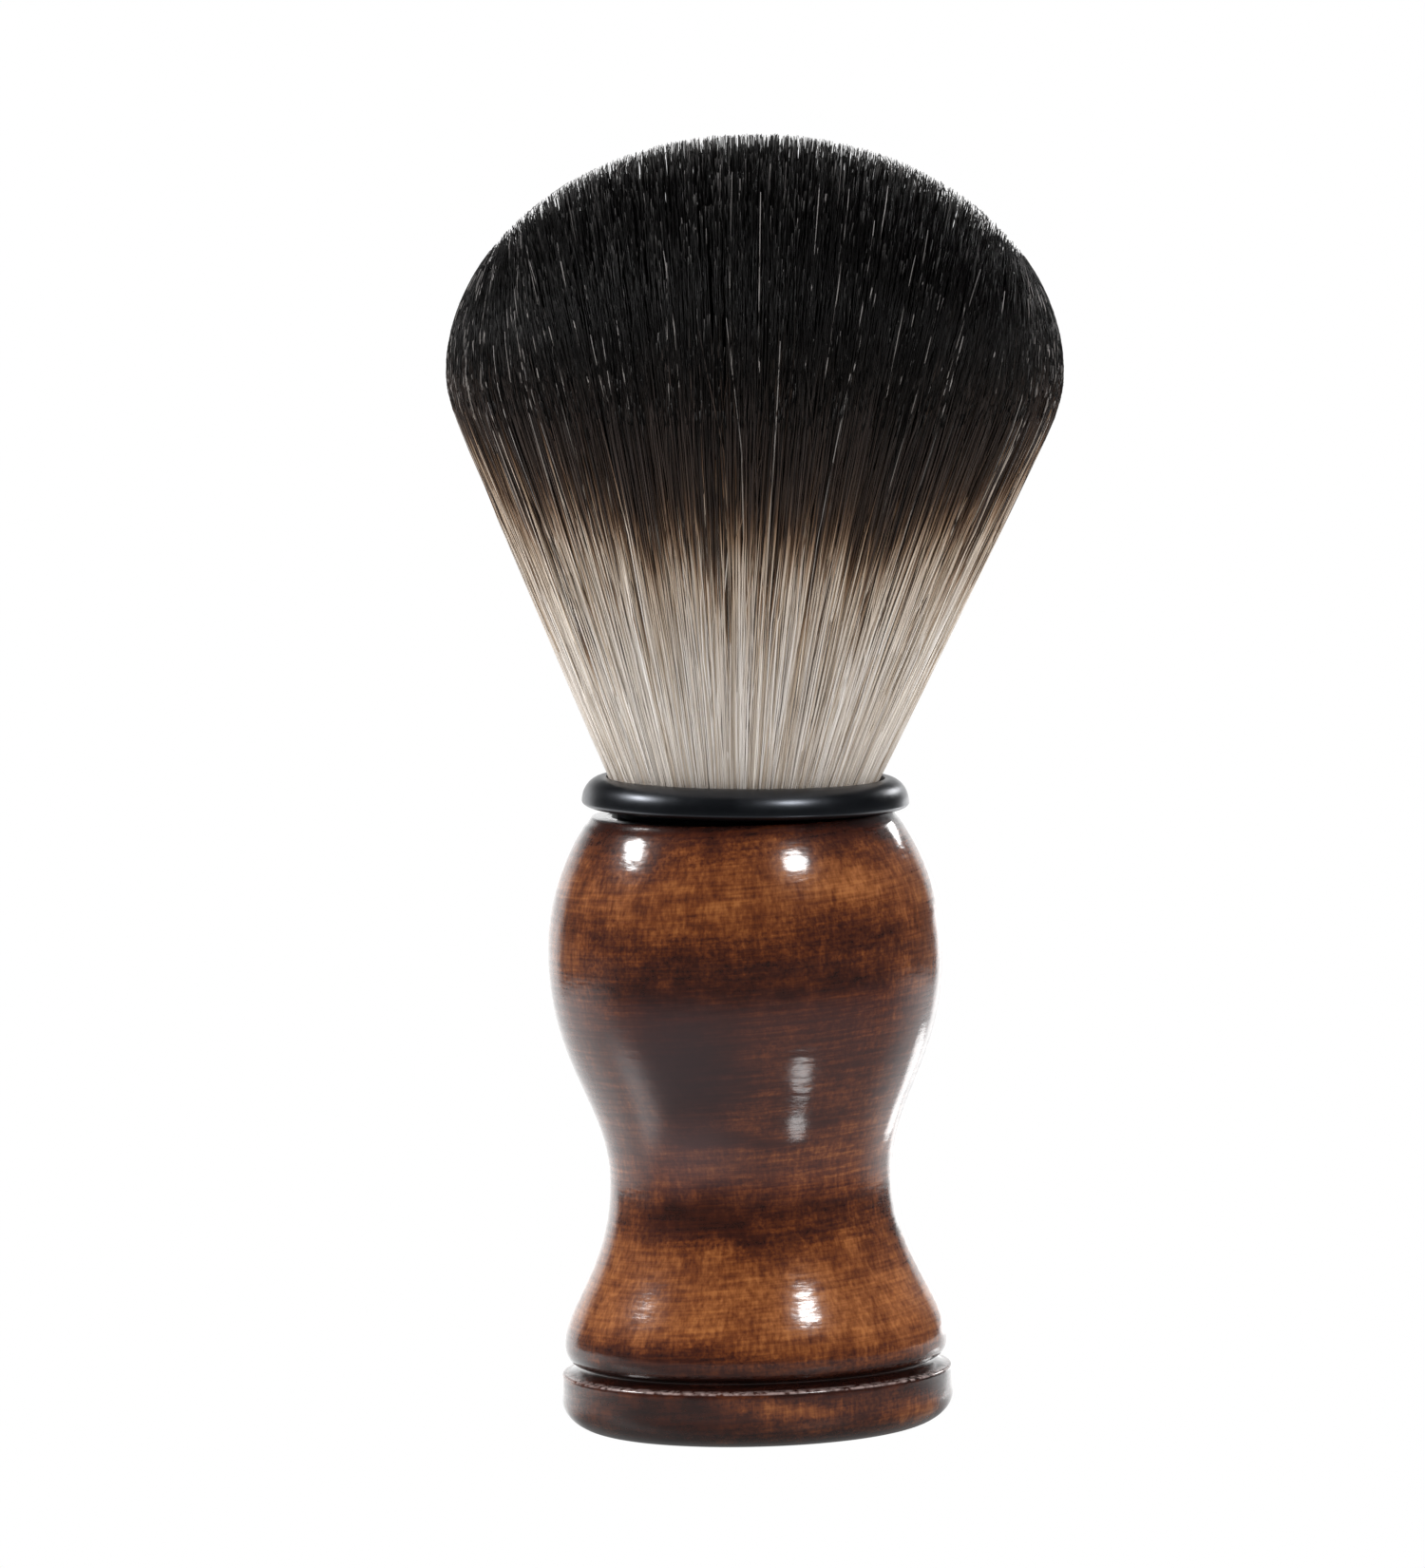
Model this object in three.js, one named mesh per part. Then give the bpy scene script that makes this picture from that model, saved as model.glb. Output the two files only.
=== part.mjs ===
// Short turned-wood brush with a fan-shaped bristle knot, standing on its foot.
// Millimetres, +Z up, origin at the centre of the base. Every piece is turned about the Z axis.

import * as THREE from 'three';

// Driving dimensions, from the base up: z is a height, r is a radius. A pull is how far a smooth curve
// keeps to its end's direction, up or down, before it turns towards its other end.

const SEGMENTS = 40;
const CURVE_STEPS = { handle: 5, collar: 4, thread: 2, knot: 6 };
const FIT_GAP = 0.3;

const FOOT = { baseR: 11.9, maxR: 15.7, bottomRoundTop: 2.5, sideTop: 4.1, rimR: 15.2, rimZ: 4.75 };
const GROOVE = { rootR: 14.1, bottomZ: 5.15, topZ: 5.4 };
const LIP = { maxR: 15.4, maxZ: 6.9, pullUp: 3.3 };
const WAIST = { r: 11.4, z: 20.4, pullDown: 7.2, pullUp: 6.0 };
const BULB = { maxR: 15.9, z: 38.3, pullDown: 8.8, ovalHeight: 17.1 };
const HANDLE_TOP = { z: 49.5, faceR: 11.9, edgeDrop: 0.4 };
const SOCKET = { r: 10.5, floorZ: 30.0 };

const ADHESIVE_THICKNESS = 1.2;
const CUP = { wall: 0.9, floorThickness: 1.0, boreEndZ: 46.5 };
const BEAD = { maxR: 13.1, z: 50.3, undersideR: 12.0, crownR: 11.4, topZ: 52.25, mouthR: 11.15 };

const PLUG = { floorThickness: 5.3, gripDepth: 1.9, gripWall: 0.9 };
const THREAD = { diameter: 0.6, turns: 4 };
const KNOT = { rootR: 7.7, bellyZ: 46.5, mouthZ: 52.1, coneR: 23.5, coneZ: 79.8, pullUp: 1.4 };
const DOME = { r: 24.7, z: 84.2, height: 19.4, pullDown: 1.8 };

// Heights and radii that follow from the driving dimensions.

const cupOuterR = SOCKET.r - FIT_GAP;
const cupInnerR = cupOuterR - CUP.wall;
const adhesiveTopZ = SOCKET.floorZ + FIT_GAP + ADHESIVE_THICKNESS;
const cupBottomZ = adhesiveTopZ + FIT_GAP;
const cupFloorZ = cupBottomZ + CUP.floorThickness;
const beadUndersideZ = HANDLE_TOP.z + FIT_GAP;
const plugBottomZ = cupFloorZ + FIT_GAP;
const plugR = cupInnerR - FIT_GAP;
const plugFloorZ = plugBottomZ + PLUG.floorThickness;
const plugTopZ = plugFloorZ + PLUG.gripDepth;
const rootBottomZ = plugFloorZ + FIT_GAP;
const threadInnerR = KNOT.rootR + FIT_GAP;
const threadBottomZ = plugTopZ + FIT_GAP;
const threadTopZ = threadBottomZ + THREAD.turns * THREAD.diameter;
const knotBellyR = cupInnerR - FIT_GAP;
const knotMouthR = BEAD.mouthR - FIT_GAP;

// An outline is drawn in (r, z) and turned about the Z axis into one closed solid.

function turned(name, outline, material, curveSteps = 1) {
  const geometry = new THREE.LatheGeometry(outline.getPoints(curveSteps), SEGMENTS);
  geometry.rotateX(Math.PI / 2);
  const mesh = new THREE.Mesh(geometry, material);
  mesh.name = name;
  return mesh;
}

function ovalArc(outline, centreR, centreZ, halfWidth, halfHeight, fromDegrees, toDegrees) {
  const from = THREE.MathUtils.degToRad(fromDegrees);
  const to = THREE.MathUtils.degToRad(toDegrees);
  outline.absellipse(centreR, centreZ, halfWidth, halfHeight, from, to, toDegrees < fromDegrees);
}

// Turned hardwood handle: foot, groove, flared skirt, waist and bulb, with a blind socket from the top.

function handle() {
  const wood = new THREE.MeshStandardMaterial({ color: 0x6e3c22, roughness: 0.22, metalness: 0 });
  const outline = new THREE.Path();
  outline.moveTo(0, 0);
  outline.lineTo(FOOT.baseR, 0);
  ovalArc(outline, FOOT.baseR, FOOT.bottomRoundTop, FOOT.maxR - FOOT.baseR, FOOT.bottomRoundTop, -90, 0);
  outline.lineTo(FOOT.maxR, FOOT.sideTop);
  outline.quadraticCurveTo(FOOT.maxR, FOOT.rimZ, FOOT.rimR, FOOT.rimZ);
  outline.lineTo(GROOVE.rootR, GROOVE.bottomZ);
  outline.lineTo(GROOVE.rootR, GROOVE.topZ);
  ovalArc(outline, GROOVE.rootR, LIP.maxZ, LIP.maxR - GROOVE.rootR, LIP.maxZ - GROOVE.topZ, -90, 0);
  const skirt = [LIP.maxR, LIP.maxZ + LIP.pullUp, WAIST.r, WAIST.z - WAIST.pullDown, WAIST.r, WAIST.z];
  outline.bezierCurveTo(...skirt);
  const body = [WAIST.r, WAIST.z + WAIST.pullUp, BULB.maxR, BULB.z - BULB.pullDown, BULB.maxR, BULB.z];
  outline.bezierCurveTo(...body);
  const edgeZ = HANDLE_TOP.z - HANDLE_TOP.edgeDrop;
  const edgeAngle = THREE.MathUtils.radToDeg(Math.asin((edgeZ - BULB.z) / BULB.ovalHeight));
  ovalArc(outline, 0, BULB.z, BULB.maxR, BULB.ovalHeight, 0, edgeAngle);
  outline.lineTo(HANDLE_TOP.faceR, HANDLE_TOP.z);
  outline.lineTo(SOCKET.r, HANDLE_TOP.z);
  outline.lineTo(SOCKET.r, SOCKET.floorZ);
  outline.lineTo(0, SOCKET.floorZ);
  return turned('handle', outline, wood, CURVE_STEPS.handle);
}

// Glue bed under the collar's cup, at the bottom of the handle's socket.

function socketAdhesive() {
  const glue = new THREE.MeshStandardMaterial({ color: 0xc9b27a, roughness: 0.35, metalness: 0 });
  const outline = new THREE.Path();
  outline.moveTo(0, SOCKET.floorZ + FIT_GAP);
  outline.lineTo(cupOuterR, SOCKET.floorZ + FIT_GAP);
  outline.lineTo(cupOuterR, adhesiveTopZ);
  outline.lineTo(0, adhesiveTopZ);
  return turned('socket_adhesive', outline, glue);
}

// Black moulded collar: a round bead on the handle's top face and a cup that goes down into the socket.

function collarRing() {
  const plastic = new THREE.MeshStandardMaterial({ color: 0x17191d, roughness: 0.35, metalness: 0 });
  const outline = new THREE.Path();
  const undersideRise = BEAD.z - beadUndersideZ;
  outline.moveTo(0, cupBottomZ);
  outline.lineTo(cupOuterR, cupBottomZ);
  outline.lineTo(cupOuterR, beadUndersideZ);
  outline.lineTo(BEAD.undersideR, beadUndersideZ);
  ovalArc(outline, BEAD.undersideR, BEAD.z, BEAD.maxR - BEAD.undersideR, undersideRise, -90, 0);
  ovalArc(outline, BEAD.crownR, BEAD.z, BEAD.maxR - BEAD.crownR, BEAD.topZ - BEAD.z, 0, 90);
  outline.quadraticCurveTo(BEAD.mouthR, BEAD.topZ, BEAD.mouthR, KNOT.mouthZ);
  outline.lineTo(cupInnerR, CUP.boreEndZ);
  outline.lineTo(cupInnerR, cupFloorZ);
  outline.lineTo(0, cupFloorZ);
  return turned('collar_ring', outline, plastic, CURVE_STEPS.collar);
}

// Cast resin plug in the bottom of the cup, with a low wall that grips the ends of the bristles.

function resinPlug() {
  const resin = new THREE.MeshStandardMaterial({ color: 0xb58a4a, roughness: 0.3, metalness: 0 });
  const outline = new THREE.Path();
  outline.moveTo(0, plugBottomZ);
  outline.lineTo(plugR, plugBottomZ);
  outline.lineTo(plugR, plugTopZ);
  outline.lineTo(plugR - PLUG.gripWall, plugTopZ);
  outline.lineTo(plugR - PLUG.gripWall, plugFloorZ);
  outline.lineTo(0, plugFloorZ);
  return turned('resin_plug', outline, resin);
}

// Binding thread wound in close turns round the root of the knot, just above the plug.

function bindingThread() {
  const cotton = new THREE.MeshStandardMaterial({ color: 0xd9cfb8, roughness: 0.85, metalness: 0 });
  const threadR = THREAD.diameter / 2;
  const outline = new THREE.Path();
  outline.moveTo(threadInnerR, threadBottomZ);
  outline.lineTo(threadInnerR + threadR, threadBottomZ);
  for (let turn = 0; turn < THREAD.turns; turn += 1) {
    const turnZ = threadBottomZ + (turn + 0.5) * THREAD.diameter;
    ovalArc(outline, threadInnerR + threadR, turnZ, threadR, threadR, -90, 90);
  }
  outline.lineTo(threadInnerR, threadTopZ);
  outline.lineTo(threadInnerR, threadBottomZ);
  return turned('binding_thread', outline, cotton, CURVE_STEPS.thread);
}

// Bristle knot as one plain soft solid: bound root, swelling belly inside the collar, cone and domed end.

function bristleKnot() {
  const bristle = new THREE.MeshStandardMaterial({ color: 0x2a2524, roughness: 0.6, metalness: 0 });
  const outline = new THREE.Path();
  const coneSlope = (KNOT.coneR - knotMouthR) / (KNOT.coneZ - KNOT.mouthZ);
  outline.moveTo(0, rootBottomZ);
  outline.lineTo(KNOT.rootR, rootBottomZ);
  outline.lineTo(KNOT.rootR, threadTopZ + FIT_GAP);
  outline.lineTo(knotBellyR, KNOT.bellyZ);
  outline.lineTo(knotMouthR, KNOT.mouthZ);
  outline.lineTo(KNOT.coneR, KNOT.coneZ);
  const shoulderStart = [KNOT.coneR + coneSlope * KNOT.pullUp, KNOT.coneZ + KNOT.pullUp];
  outline.bezierCurveTo(...shoulderStart, DOME.r, DOME.z - DOME.pullDown, DOME.r, DOME.z);
  ovalArc(outline, 0, DOME.z, DOME.r, DOME.height, 0, 90);
  return turned('bristle_knot', outline, bristle, CURVE_STEPS.knot);
}

const group = new THREE.Group();
group.add(handle(), socketAdhesive(), collarRing(), resinPlug(), bindingThread(), bristleKnot());

export default group;
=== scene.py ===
import math

import bpy
import numpy as np
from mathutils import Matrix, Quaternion, Vector


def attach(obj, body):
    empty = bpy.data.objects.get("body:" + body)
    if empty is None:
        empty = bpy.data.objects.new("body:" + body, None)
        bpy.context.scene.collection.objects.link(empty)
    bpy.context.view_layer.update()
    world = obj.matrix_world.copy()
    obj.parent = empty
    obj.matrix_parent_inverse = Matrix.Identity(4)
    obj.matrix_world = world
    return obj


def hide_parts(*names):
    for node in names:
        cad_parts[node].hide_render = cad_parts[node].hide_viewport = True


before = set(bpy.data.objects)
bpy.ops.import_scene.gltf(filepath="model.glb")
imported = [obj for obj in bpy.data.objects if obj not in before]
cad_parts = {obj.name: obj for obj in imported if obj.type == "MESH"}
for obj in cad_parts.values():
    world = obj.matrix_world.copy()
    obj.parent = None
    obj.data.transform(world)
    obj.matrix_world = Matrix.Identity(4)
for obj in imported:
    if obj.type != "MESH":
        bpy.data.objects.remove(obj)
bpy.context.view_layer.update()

# Short turned-wood brush: a fan of real filaments, a black collar and a varnished, stained handle.
# Outlines are in millimetres, as r and z; meshes are in metres. Z is up and the camera looks along +Y.

MM = 0.001
SEED = 11
BAKE_UV = "OFBake"

# The outline's driving dimensions, the same as the CAD model's, apart from the knot's thread_top_z: it is
# 0.1 mm higher here, out of sight inside the collar.
FOOT = dict(base_r=11.9, max_r=15.7, round_top=2.5, side_top=4.1, rim_r=15.2, rim_z=4.75)
GROOVE = dict(root_r=14.1, bottom_z=5.15, top_z=5.4)
LIP = dict(max_r=15.4, max_z=6.9, pull_up=3.3)
WAIST = dict(r=11.4, z=20.4, pull_down=7.2, pull_up=6.0)
BULB = dict(max_r=15.9, z=38.3, pull_down=8.8, oval_height=17.1)
HANDLE_TOP = dict(z=49.5, face_r=11.9, edge_drop=0.4)
SOCKET = dict(r=10.5, floor_z=30.0)
CUP = dict(outer_r=10.2, inner_r=9.3, bottom_z=31.8, floor_z=32.8, bore_end_z=46.5)
BEAD = dict(max_r=13.1, z=50.3, underside_z=49.8, underside_r=12.0, crown_r=11.4, top_z=52.25, mouth_r=11.15)
KNOT = dict(root_r=7.7, thread_top_z=43.4, belly_r=9.0, belly_z=46.5, mouth_r=10.85, mouth_z=52.1)
CONE = dict(r=23.5, z=79.8)
DOME = dict(r=24.7, z=84.2, height=19.4)

# ---------------------------------------------------------------- outlines


def oval_arc(centre_r, centre_z, half_width, half_height, from_deg, to_deg, steps):
    angles = np.radians(np.linspace(from_deg, to_deg, steps + 1))
    return [(centre_r + half_width * math.cos(a), centre_z + half_height * math.sin(a)) for a in angles]


def bezier(p0, p1, p2, p3, steps):
    t = np.linspace(0, 1, steps + 1)[:, None]
    p0, p1, p2, p3 = (np.array(p, float) for p in (p0, p1, p2, p3))
    points = (1 - t) ** 3 * p0 + 3 * t * (1 - t) ** 2 * p1 + 3 * t ** 2 * (1 - t) * p2 + t ** 3 * p3
    return [tuple(p) for p in points]


def line(p0, p1, steps):
    return [tuple(p) for p in np.linspace(p0, p1, steps + 1)]


def joined(*stretches):
    """One outline from its stretches, without the points that two neighbours share."""
    outline = [stretches[0][0]]
    for stretch in stretches:
        for point in stretch:
            if math.dist(point, outline[-1]) > 1e-6:
                outline.append(point)
    return np.array(outline)


def handle_outline():
    foot_round = oval_arc(FOOT["base_r"], FOOT["round_top"], FOOT["max_r"] - FOOT["base_r"],
                          FOOT["round_top"], -90, 0, 16)
    side_top = (FOOT["max_r"], FOOT["side_top"])
    rim = (FOOT["rim_r"], FOOT["rim_z"])
    corner = (FOOT["max_r"], FOOT["rim_z"])
    groove_low = (GROOVE["root_r"], GROOVE["bottom_z"])
    groove_high = (GROOVE["root_r"], GROOVE["top_z"])
    lip_round = oval_arc(GROOVE["root_r"], LIP["max_z"], LIP["max_r"] - GROOVE["root_r"],
                         LIP["max_z"] - GROOVE["top_z"], -90, 0, 14)
    skirt = bezier((LIP["max_r"], LIP["max_z"]), (LIP["max_r"], LIP["max_z"] + LIP["pull_up"]),
                   (WAIST["r"], WAIST["z"] - WAIST["pull_down"]), (WAIST["r"], WAIST["z"]), 64)
    body = bezier((WAIST["r"], WAIST["z"]), (WAIST["r"], WAIST["z"] + WAIST["pull_up"]),
                  (BULB["max_r"], BULB["z"] - BULB["pull_down"]), (BULB["max_r"], BULB["z"]), 84)
    edge_z = HANDLE_TOP["z"] - HANDLE_TOP["edge_drop"]
    edge_deg = math.degrees(math.asin((edge_z - BULB["z"]) / BULB["oval_height"]))
    shoulder = oval_arc(0, BULB["z"], BULB["max_r"], BULB["oval_height"], 0, edge_deg, 56)
    face_edge = (HANDLE_TOP["face_r"], HANDLE_TOP["z"])
    top_round = bezier(shoulder[-1], (shoulder[-1][0] - 0.18, edge_z + 0.25),
                       (face_edge[0] + 0.2, face_edge[1]), face_edge, 5)
    socket_rim = (SOCKET["r"], HANDLE_TOP["z"])
    socket_foot = (SOCKET["r"], SOCKET["floor_z"])
    return joined(
        line((0.0, 0.0), (FOOT["base_r"], 0.0), 10), foot_round,
        line(foot_round[-1], side_top, 4), bezier(side_top, corner, corner, rim, 6),
        line(rim, groove_low, 4), line(groove_low, groove_high, 2), lip_round, skirt, body, shoulder,
        top_round, line(face_edge, socket_rim, 3), line(socket_rim, socket_foot, 10),
        line(socket_foot, (0.0, SOCKET["floor_z"]), 6))


def collar_outline():
    under = oval_arc(BEAD["underside_r"], BEAD["z"], BEAD["max_r"] - BEAD["underside_r"],
                     BEAD["z"] - BEAD["underside_z"], -90, 0, 14)
    crown = oval_arc(BEAD["crown_r"], BEAD["z"], BEAD["max_r"] - BEAD["crown_r"],
                     BEAD["top_z"] - BEAD["z"], 0, 90, 22)
    mouth = (BEAD["mouth_r"], KNOT["mouth_z"])
    corner = (BEAD["mouth_r"], BEAD["top_z"])
    return joined(
        line((0.0, CUP["bottom_z"]), (CUP["outer_r"], CUP["bottom_z"]), 5),
        line((CUP["outer_r"], CUP["bottom_z"]), (CUP["outer_r"], BEAD["underside_z"]), 8),
        line((CUP["outer_r"], BEAD["underside_z"]), (BEAD["underside_r"], BEAD["underside_z"]), 3),
        under, crown, bezier(crown[-1], corner, corner, mouth, 6),
        line(mouth, (CUP["inner_r"], CUP["bore_end_z"]), 6),
        line((CUP["inner_r"], CUP["bore_end_z"]), (CUP["inner_r"], CUP["floor_z"]), 6),
        line((CUP["inner_r"], CUP["floor_z"]), (0.0, CUP["floor_z"]), 5))


# ---------------------------------------------------------------- meshes


def mesh_object(name, vertices, faces, face_uvs):
    """One mesh object from numpy arrays. faces is a list of index arrays, one array for each corner count."""
    mesh = bpy.data.meshes.new(name)
    corners = np.concatenate([f.ravel() for f in faces]).astype(np.int32)
    sizes = np.concatenate([np.full(len(f), f.shape[1]) for f in faces])
    starts = np.concatenate([[0], np.cumsum(sizes)[:-1]]).astype(np.int32)
    mesh.vertices.add(len(vertices))
    mesh.vertices.foreach_set("co", np.asarray(vertices, np.float32).ravel())
    mesh.loops.add(len(corners))
    mesh.loops.foreach_set("vertex_index", corners)
    mesh.polygons.add(len(sizes))
    mesh.polygons.foreach_set("loop_start", starts)
    mesh.update(calc_edges=True)
    layer = mesh.uv_layers.new(name=BAKE_UV)
    uvs = np.concatenate([u.reshape(-1, 2) for u in face_uvs])
    layer.uv.foreach_set("vector", uvs.astype(np.float32).ravel())
    mesh.shade_smooth()
    piece = bpy.data.objects.new(name, mesh)
    bpy.context.scene.collection.objects.link(piece)
    return piece


def turned_object(name, outline_mm, segments, ripple=None, place=None):
    """Turns an outline that starts and ends on the axis about Z. ripple moves the surface in or out, and
    place moves the finished points."""
    ring = outline_mm[1:-1]
    angles = np.arange(segments) * (2 * math.pi / segments)
    radius = np.repeat(ring[:, :1], segments, 1)
    height = np.repeat(ring[:, 1:], segments, 1)
    if ripple is not None:
        radius = radius + ripple(angles[None, :], height, radius)
    ring_points = np.stack([radius * np.cos(angles), radius * np.sin(angles), height], 2).reshape(-1, 3)
    poles = np.array([[0, 0, outline_mm[0, 1]], [0, 0, outline_mm[-1, 1]]])
    vertices = np.concatenate([ring_points, poles])
    if place is not None:
        vertices = place(vertices)
    vertices = vertices * MM
    rows = len(ring)
    first_pole, last_pole = rows * segments, rows * segments + 1
    row, column = np.meshgrid(np.arange(rows - 1), np.arange(segments), indexing="ij")
    beside = (column + 1) % segments
    quads = np.stack([row * segments + column, row * segments + beside,
                      (row + 1) * segments + beside, (row + 1) * segments + column], 2).reshape(-1, 4)
    step = np.arange(segments)
    after = (step + 1) % segments
    last = (rows - 1) * segments
    fans = np.concatenate([np.stack([np.full(segments, first_pole), after, step], 1),
                           np.stack([np.full(segments, last_pole), last + step, last + after], 1)])
    length = np.concatenate([[0], np.cumsum(np.hypot(*np.diff(outline_mm, axis=0).T))])
    length /= length[-1]
    low, high = length[1:-2][row], length[2:-1][row]
    left, right = column / segments, (column + 1) / segments
    quad_uv = np.stack([np.stack([left, low], 2), np.stack([right, low], 2),
                        np.stack([right, high], 2), np.stack([left, high], 2)], 2)
    fan_low = np.stack([np.stack([(step + 0.5) / segments, np.zeros(segments)], 1),
                        np.stack([(step + 1) / segments, np.full(segments, length[1])], 1),
                        np.stack([step / segments, np.full(segments, length[1])], 1)], 1)
    fan_high = np.stack([np.stack([(step + 0.5) / segments, np.ones(segments)], 1),
                         np.stack([step / segments, np.full(segments, length[-2])], 1),
                         np.stack([(step + 1) / segments, np.full(segments, length[-2])], 1)], 1)
    return mesh_object(name, vertices, [quads, fans], [quad_uv, fan_low, fan_high])


# ---------------------------------------------------------------- material helpers


class Nodes:
    """A short way to write a node material: sockets and numbers go in, sockets come out."""

    def __init__(self, name, **shader_values):
        self.material = bpy.data.materials.new(name)
        self.material.use_nodes = True
        self.tree = self.material.node_tree
        self.shader = self.tree.nodes["Principled BSDF"]
        for socket, value in shader_values.items():
            self.shader.inputs[socket.replace("_", " ")].default_value = value

    def put(self, value, socket):
        if isinstance(value, bpy.types.NodeSocket):
            self.tree.links.new(value, socket)
        else:
            socket.default_value = value

    def add(self, kind, inputs=(), **settings):
        node = self.tree.nodes.new("ShaderNode" + kind)
        for key, value in settings.items():
            setattr(node, key, value)
        for key, value in dict(inputs).items():
            self.put(value, node.inputs[key])
        return node

    def math(self, operation, *values):
        node = self.add("Math", operation=operation)
        for index, value in enumerate(values):
            self.put(value, node.inputs[index])
        return node.outputs[0]

    def separate(self, vector):
        node = self.add("SeparateXYZ", {"Vector": vector})
        return node.outputs["X"], node.outputs["Y"], node.outputs["Z"]

    def combine(self, x, y, z):
        return self.add("CombineXYZ", {"X": x, "Y": y, "Z": z}).outputs[0]

    def noise(self, vector, scale, detail=2.0, roughness=0.5):
        inputs = {"Vector": vector, "Scale": scale, "Detail": detail, "Roughness": roughness}
        return self.add("TexNoise", inputs).outputs[0]

    def chance(self, number):
        """A fixed random value from 0 to 1 for each whole number."""
        return self.add("TexWhiteNoise", {"W": number}, noise_dimensions="1D").outputs["Value"]

    def between(self, value, low, high, to_low=0.0, to_high=1.0):
        """value between low and high, mapped smoothly to to_low and to_high."""
        inputs = {"Value": value, "From Min": low, "From Max": high, "To Min": to_low, "To Max": to_high}
        return self.add("MapRange", inputs, interpolation_type="SMOOTHSTEP").outputs["Result"]

    def mix(self, factor, first, second, blend="MIX"):
        node = self.add("Mix", data_type="RGBA", blend_type=blend)
        self.put(factor, node.inputs["Factor"])
        self.put(first, node.inputs[6])
        self.put(second, node.inputs[7])
        return node.outputs[2]

    def ramp(self, value, stops):
        node = self.add("ValToRGB", {"Fac": value})
        elements = node.color_ramp.elements
        while len(elements) < len(stops):
            elements.new(0.5)
        for element, (position, colour) in zip(elements, stops):
            element.position = position
            element.color = colour
        return node.outputs["Color"]

    def bump(self, height, distance_mm):
        inputs = {"Height": height, "Distance": distance_mm * MM, "Strength": 1.0}
        return self.add("Bump", inputs).outputs["Normal"]

    def surface(self, **sockets):
        for socket, value in sockets.items():
            self.put(value, self.shader.inputs[socket.replace("_", " ")])


def srgb(red, green, blue):
    """A linear colour from the 0 to 255 numbers of a screen colour."""
    return tuple(((c / 255 + 0.055) / 1.055) ** 2.4 if c > 10 else c / 255 / 12.92
                 for c in (red, green, blue)) + (1.0,)


def object_mm(nodes):
    """The surface point in millimetres, from the object's own coordinates."""
    place = nodes.add("TexCoord").outputs["Object"]
    scale = nodes.add("VectorMath", {0: place, 1: (1000, 1000, 1000)}, operation="MULTIPLY")
    return scale.outputs[0]


# ---------------------------------------------------------------- materials


# How deep the stain is at each height of the handle, 0 for bare orange wood and 1 for nearly black. Two rows
# are painted shade rather than stain: the near-black spike in the groove at 5.3 mm and the 0.80 under the
# collar at 49.5 mm.
STAIN_DEPTH = (
    (0.0, 0.60), (2.6, 0.58), (4.3, 0.64), (5.3, 0.95), (6.1, 0.64), (7.7, 0.38), (9.5, 0.22), (11.5, 0.20),
    (13.2, 0.27), (15.0, 0.34), (16.8, 0.54), (18.6, 0.58), (21.0, 0.44), (25.0, 0.48), (29.0, 0.56),
    (32.0, 0.60), (35.5, 0.66), (37.3, 0.67), (39.0, 0.60), (41.0, 0.46), (43.0, 0.31), (44.5, 0.29),
    (46.2, 0.32), (48.0, 0.50), (49.5, 0.80))

# Uneven places in the stain: the way they face, their height, half width and half height in mm, and how
# much darker they are. 0 degrees faces the camera and 90 degrees is to its right.
STAIN_PATCHES = (
    (-20, 31.0, 5.5, 6.0, 0.32), (-28, 26.0, 4.0, 3.0, 0.10), (-6, 24.2, 6.5, 0.9, 0.42),
    (20, 25.8, 5.0, 0.8, 0.26), (-30, 18.0, 6.0, 1.7, 0.26), (-8, 17.2, 5.0, 1.2, 0.14),
    (-35, 7.4, 8.0, 1.4, 0.24), (48, 17.0, 7.0, 2.4, -0.10), (58, 24.0, 8.0, 6.0, -0.08),
    (-66, 16.8, 8.0, 4.0, -0.15), (34, 41.8, 7.0, 2.6, 0.13), (52, 35.0, 6.0, 3.0, -0.12),
    (60, 41.0, 5.0, 3.0, -0.05), (-50, 46.5, 8.0, 2.0, 0.10), (6, 3.4, 5.0, 1.0, -0.30),
    (20, 3.2, 3.0, 0.8, -0.26), (56, 2.2, 4.5, 2.4, -0.36), (-30, 2.4, 8.0, 2.4, 0.22),
    (-68, 38.0, 7.5, 3.6, -0.30), (68, 37.8, 7.5, 3.6, -0.26), (30, 45.0, 6.0, 1.6, -0.12),
    (150, 30.0, 9.0, 4.0, 0.12), (200, 22.0, 8.0, 4.0, -0.12), (120, 12.0, 6.0, 2.0, 0.14),
    (235, 43.0, 6.0, 2.5, 0.12), (165, 3.0, 8.0, 1.4, -0.26), (260, 34.0, 8.0, 4.0, -0.10),
    (215, 15.5, 8.0, 1.6, 0.2))

# Places where a greyish haze is painted into the colour, standing in for reflections in the varnish: as
# above, then how much and towards which colour.
PAINTED_HAZE_PATCHES = (
    (-22, 30.5, 7.5, 9.0, 0.62, srgb(46, 35, 38)), (-26, 22.8, 8.0, 4.5, 0.40, srgb(84, 66, 67)),
    (170, 27.0, 9.0, 7.0, 0.35, srgb(60, 44, 44)))

PATCH_R = 14.0


def patch_reach(nodes, x, y, level, facing, z, half_width, half_height):
    """0 in the middle of a patch on the handle, 1 at its edge."""
    turn = math.radians(facing)
    spot = (PATCH_R * math.sin(turn), -PATCH_R * math.cos(turn), z)
    away = nodes.add("VectorMath", {0: nodes.combine(x, y, level), 1: spot}, operation="SUBTRACT").outputs[0]
    size = (1 / half_width, 1 / half_width, 1 / half_height)
    away = nodes.add("VectorMath", {0: away, 1: size}, operation="MULTIPLY").outputs[0]
    return nodes.add("VectorMath", {0: away}, operation="LENGTH").outputs["Value"]


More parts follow.
